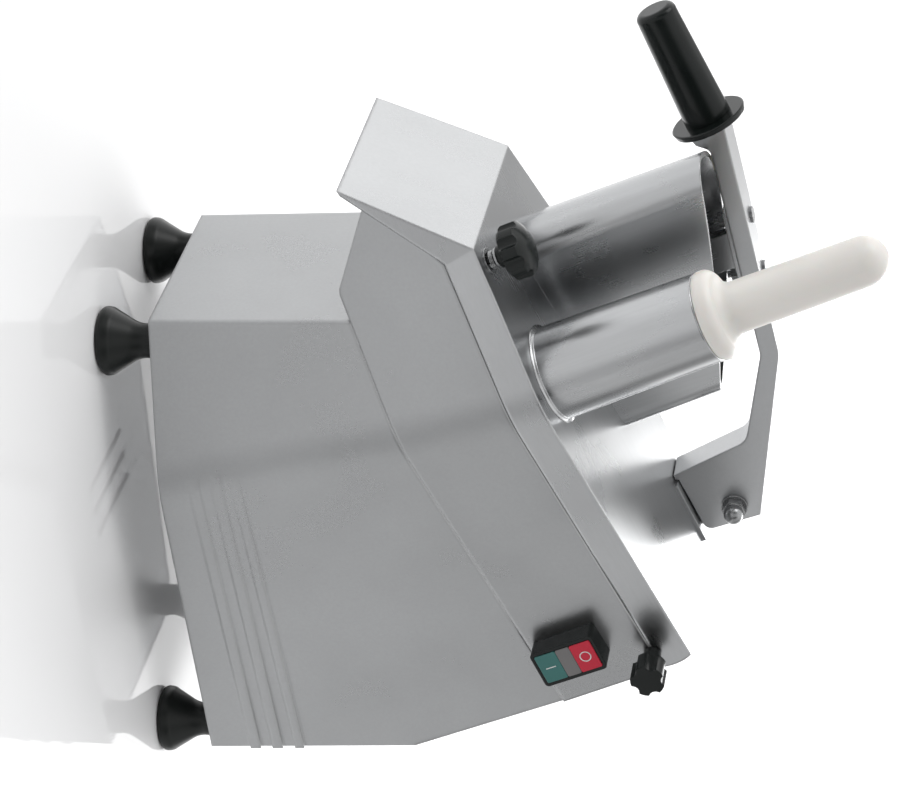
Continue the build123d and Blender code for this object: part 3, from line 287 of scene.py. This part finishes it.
def wound_wire(start, end, coil_radius, wire_radius, turns, steps=36, sides=10):
    """Vertices and faces of a coil spring round the lock screw."""
    rings = int(turns * steps) + 1
    verts = []
    for i in range(rings):
        angle = 2 * pi * i / steps
        height = start + (end - start) * i / (rings - 1)
        for j in range(sides):
            around = 2 * pi * j / sides
            radius = coil_radius + wire_radius * cos(around)
            v = LOCK[0] + radius * cos(angle)
            s = LOCK[1] + radius * sin(angle)
            verts.append(lid_point(v, s, height + wire_radius * sin(around)))
    faces = []
    for i in range(rings - 1):
        for j in range(sides):
            k = (j + 1) % sides
            faces.append((i * sides + j, i * sides + k, (i + 1) * sides + k, (i + 1) * sides + j))
    faces.append(tuple(reversed(range(sides))))
    faces.append(tuple((rings - 1) * sides + j for j in range(sides)))
    return verts, faces


def turned(profile, place, steps=96):
    """Closed (radius, height) profile turned about a line square to place's plane."""
    verts = []
    count = len(profile)
    for i in range(steps):
        angle = 2 * pi * i / steps
        verts += [place(radius * cos(angle), radius * sin(angle), height) for radius, height in profile]
    faces = []
    for i in range(steps):
        following = (i + 1) % steps
        for j in range(count):
            k = (j + 1) % count
            faces.append((i * count + j, following * count + j, following * count + k, i * count + k))
    return verts, faces


def on_lid(v, s):
    """Place function for pieces standing on the lid."""
    return lambda a, b, height: lid_point(v + a, s + b, height)


def on_key(w, face_x):
    """Place function for marks on a key's face."""

    def place(a, b, height):
        point = lid_point(0, SWITCH_S + a, w + b)
        point.x = face_x + height
        return point

    return place


def key_face(node):
    """Outer face of a key, in x."""
    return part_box(node)[1][0]


def make_lock_coil():
    """Coil spring in place of the CAD's plain sleeve."""
    start = SPRING_BOTTOM + WIRE_RADIUS
    verts, faces = wound_wire(start, SPRING_TOP - WIRE_RADIUS, SPRING_RADIUS, WIRE_RADIUS, SPRING_TURNS)
    coil = new_piece("lock_coil", verts, faces, MATERIALS["bolt_steel"], "lid")
    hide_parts("lock_spring")


def make_round_tube_cove():
    """Cove of weld metal where the round tube meets the lid."""
    outline = [(COVE_INSIDE, COVE_LIFT), (COVE_OUTSIDE, COVE_LIFT)]
    for step in range(1, 7):
        angle = step * pi / 12
        radius = COVE_OUTSIDE - COVE_RADIUS * sin(angle)
        outline.append((radius, COVE_LIFT + COVE_RADIUS * (1 - cos(angle))))
    outline.append((COVE_INSIDE, COVE_LIFT + COVE_RADIUS))
    verts, faces = turned(outline, on_lid(*TUBE))
    new_piece("round_tube_cove", verts, faces, MATERIALS["satin_aluminium"], "lid")


def make_stop_mark():
    """Pale ring on the stop key."""
    outline = [
        (RING_INSIDE, MARK_SINK),
        (RING_OUTSIDE, MARK_SINK),
        (RING_OUTSIDE, MARK_RISE),
        (RING_INSIDE, MARK_RISE),
    ]
    verts, faces = turned(outline, on_key(SWITCH_W + KEY_STEP, key_face("stop_button")), 48)
    new_piece("stop_mark", verts, faces, MATERIALS["mark_paint"], "stop_key")


def make_start_mark():
    """Pale bar on the start key."""
    place = on_key(SWITCH_W - KEY_STEP, key_face("start_button"))
    verts = []
    for height in (MARK_SINK, MARK_RISE):
        for across, along in ((-1, -1), (1, -1), (1, 1), (-1, 1)):
            verts.append(place(across * BAR_HALF_WIDTH, along * BAR_HALF_LENGTH, height))
    faces = [(3, 2, 1, 0), (4, 5, 6, 7), (0, 1, 5, 4), (1, 2, 6, 5), (2, 3, 7, 6), (3, 0, 4, 7)]
    bar = new_piece("start_mark", verts, faces, MATERIALS["mark_paint"], "start_key")
    bar.data.polygons.foreach_set("use_smooth", [False] * len(faces))


make_lock_coil()
make_round_tube_cove()
make_stop_mark()
make_start_mark()


# ================================================================ stage
def make_floor():
    """Pale glossy studio floor."""
    material = bpy.data.materials.new("studio_floor")
    material.use_nodes = True
    n = Nodes(material.node_tree)
    shader = n.add(
        "ShaderNodeBsdfPrincipled",
        {"Base Color": (0.93, 0.93, 0.935, 1), "Roughness": 0.05, "Specular IOR Level": 0.7},
    )
    n.add("ShaderNodeOutputMaterial", {"Surface": shader.outputs[0]})
    mesh = bpy.data.meshes.new("studio_floor")
    reach = 40.0
    corners = [(x * reach, y * reach, 0) for x, y in ((-1, -1), (1, -1), (1, 1), (-1, 1))]
    mesh.from_pydata(corners, [], [(0, 1, 2, 3)])
    mesh.materials.append(material)
    floor = bpy.data.objects.new("studio_floor", mesh)
    scene.collection.objects.link(floor)


# dark strips of the studio, seen only as soft bands on the metal:
# (direction from +X towards +Y in degrees, half width, depth)
DARK_STRIPS = (
    (9.0, 13.0, 0.93),
    (-56.0, 15.0, 0.7),
    (84.0, 18.0, 0.6),
    (-112.0, 14.0, 0.5),
)
DARK_PATCH = Vector((-0.80, 0.22, 0.56))       # above and behind, mirrored by the lid


def make_studio():
    """Soft white room with a brighter far side and a few dark strips."""
    world = bpy.data.worlds.new("studio")
    scene.world = world
    world.use_nodes = True
    n = Nodes(world.node_tree)
    direction = n.add("ShaderNodeTexCoord").outputs["Generated"]
    parts = n.add("ShaderNodeSeparateXYZ", {0: direction}).outputs
    turn = n.math("DEGREES", n.math("ARCTAN2", parts["Y"], parts["X"]))
    brightness = n.ramp(parts["X"], 0.8, -0.9, 0.78, 1.75)
    for centre, half, depth in DARK_STRIPS:
        away = n.math("ABSOLUTE", n.math("SUBTRACT", turn, centre))
        keep = n.ramp(away, half * 0.4, half * 1.3, 1 - depth, 1.0)
        brightness = n.math("MULTIPLY", brightness, keep)
    facing = n.add("ShaderNodeVectorMath", {0: direction, 1: DARK_PATCH}, operation="DOT_PRODUCT")
    brightness = n.math("MULTIPLY", brightness, n.ramp(facing.outputs["Value"], 0.88, 0.975, 1.0, 0.35))
    overhead = n.ramp(parts["Z"], 0.55, 0.95, 0.0, 1.0)
    light = n.blend(overhead, brightness, grey(1.3))
    lit = n.add("ShaderNodeBackground", {"Color": light, "Strength": 1.0})
    plain = n.add("ShaderNodeBackground", {"Color": grey(0.985), "Strength": 1.0})
    seen = n.add("ShaderNodeLightPath").outputs["Is Camera Ray"]
    mixed = n.add("ShaderNodeMixShader", {0: seen, 1: lit.outputs[0], 2: plain.outputs[0]})
    n.add("ShaderNodeOutputWorld", {"Surface": mixed.outputs[0]})


def area_light(name, place, target, size, power):
    """Soft square light."""
    data = bpy.data.lights.new(name, "AREA")
    data.shape = "SQUARE"
    data.size = size
    data.energy = power
    light = bpy.data.objects.new(name, data)
    light.location = place
    light.rotation_euler = (Vector(target) - Vector(place)).to_track_quat("-Z", "Y").to_euler()
    scene.collection.objects.link(light)


CAMERA_TURN = 59.5                 # degrees round from the front, towards +X
CAMERA_TILT = 10.79                # degrees above level
CAMERA_LENS = 120.6
CAMERA_FROM_DATUM = Vector((1.8926, -1.0805, 0.6540))   # from the datum line's foot on the floor


def make_camera():
    """Camera at the photograph's angle, turned on its side as the photograph is."""
    data = bpy.data.cameras.new("camera")
    data.sensor_width = 36.0
    data.lens = CAMERA_LENS
    data.clip_end = 100.0
    camera = bpy.data.objects.new("camera", data)
    turn = radians(CAMERA_TURN)
    tilt = radians(CAMERA_TILT)
    back = Vector((sin(turn) * cos(tilt), -cos(turn) * cos(tilt), sin(tilt)))
    right = Vector((cos(turn), sin(turn), 0))
    up = back.cross(right)
    spin = Matrix((up, -right, back)).transposed()
    mirror_plane = DATUM.copy()
    mirror_plane.z = 0
    place = Matrix.Translation(mirror_plane + CAMERA_FROM_DATUM)
    camera.matrix_world = place @ spin.to_4x4()
    scene.collection.objects.link(camera)
    scene.camera = camera


make_floor()
make_studio()
area_light("key", (-0.4, -1.6, 1.5), (0, 0, 0.25), 1.0, 9)
area_light("lid_sheen", (-1.3, 1.05, 1.25), (0, 0.2, 0.4), 1.0, 17)
make_camera()
scene.view_settings.view_transform = "Standard"
scene.view_settings.look = "None"
